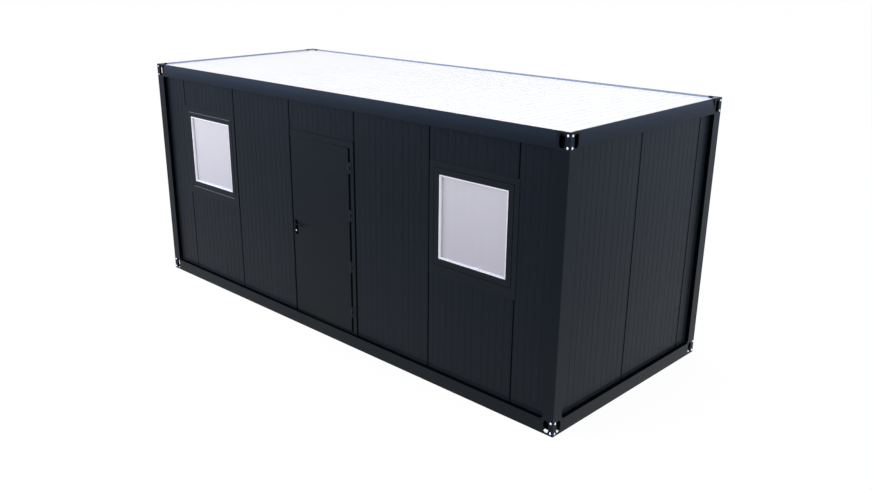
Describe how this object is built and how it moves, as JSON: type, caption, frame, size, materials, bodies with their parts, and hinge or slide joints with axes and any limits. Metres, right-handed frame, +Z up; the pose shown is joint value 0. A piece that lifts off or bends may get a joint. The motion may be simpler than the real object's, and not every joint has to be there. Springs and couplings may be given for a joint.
{
  "type": "shipping container cabin",
  "caption": "Flat-roofed site cabin on a steel container frame with slotted corner blocks, ribbed wall panels, square windows and a hinged door with a lever handle.",
  "frame": {"origin": "middle of the cabin's base, on the level that it stands on", "axes": "+X along the cabin's length, -Y out of the door side, +Z up"},
  "size_m": [6, 2.4, 2.6],
  "materials": {
    "frame_paint": "anthracite powder coat, satin",
    "panel_paint": "anthracite coil-coated sheet with pressed ribs, satin",
    "door_paint": "anthracite powder coat, smooth satin",
    "window_paint": "anthracite powder coat, satin",
    "roof_white": "white coil-coated ribbed sheet",
    "ceiling_white": "white coil-coated lining",
    "sash_white": "white window plastic",
    "glazing": "pale obscured double glazing",
    "black_seal": "black sealing rubber",
    "black_handle": "black moulded lever set",
    "hinge_grey": "dark grey painted steel, satin",
    "zinc": "bright zinc plate",
    "galvanised": "galvanised sheet",
    "floor_lining": "floor board with a grey brown lining"
  },
  "bodies": {
    "cabin": {"base_corners_left": "frame_paint", "base_corners_right": "frame_paint", "roof_corners_left": "frame_paint", "roof_corners_right": "frame_paint", "post_front_left": "frame_paint", "post_front_right": "frame_paint", "post_back_left": "frame_paint", "post_back_right": "frame_paint", "base_rail_front": "frame_paint", "base_rail_right": "frame_paint", "base_rail_back": "frame_paint", "base_rail_left": "frame_paint", "roof_rail_front": "frame_paint", "roof_rail_right": "frame_paint", "roof_rail_back": "frame_paint", "roof_rail_left": "frame_paint", "front_panels_left_end": "panel_paint", "front_panel_window_left": "panel_paint", "front_panel_mid_left": "panel_paint", "door_lintel_panel": "panel_paint", "front_panel_mid_right": "panel_paint", "front_panel_window_right": "panel_paint", "front_panels_right_end": "panel_paint", "right_wall_panels": "panel_paint", "back_wall_panels": "panel_paint", "left_wall_panels": "panel_paint", "door_frame": "door_paint", "window_plates": "window_paint", "window_frames": "window_paint", "roof_sheet": "roof_white", "ceiling": "ceiling_white", "window_sashes": "sash_white", "window_glass": "glazing", "joint_seals": "black_seal", "frame_seals": "black_seal", "door_seal": "black_seal", "frame_hinges": "hinge_grey", "underfloor_sheet": "galvanised", "floor_joists": "galvanised", "floor_deck": "floor_lining"},
    "door": {"door_leaf": "door_paint", "leaf_hinges": "hinge_grey", "lock_plates": "black_handle", "lock_cylinder": "zinc"},
    "lever": {"lever_handle": "black_handle"}
  },
  "joints": [
    {"name": "door_hinge", "type": "hinge", "parent": "cabin", "child": "door", "pos_m": [0.432, -1.172, 1.12], "axis": [0, 0, 1], "range_deg": [0, 115]},
    {"name": "door_lever", "type": "hinge", "parent": "door", "child": "lever", "pos_m": [-0.438, -1.17, 1.145], "axis": [0, 1, 0], "range_deg": [0, 40], "stiffness_Nm_per_rad": 1.5}
  ]
}
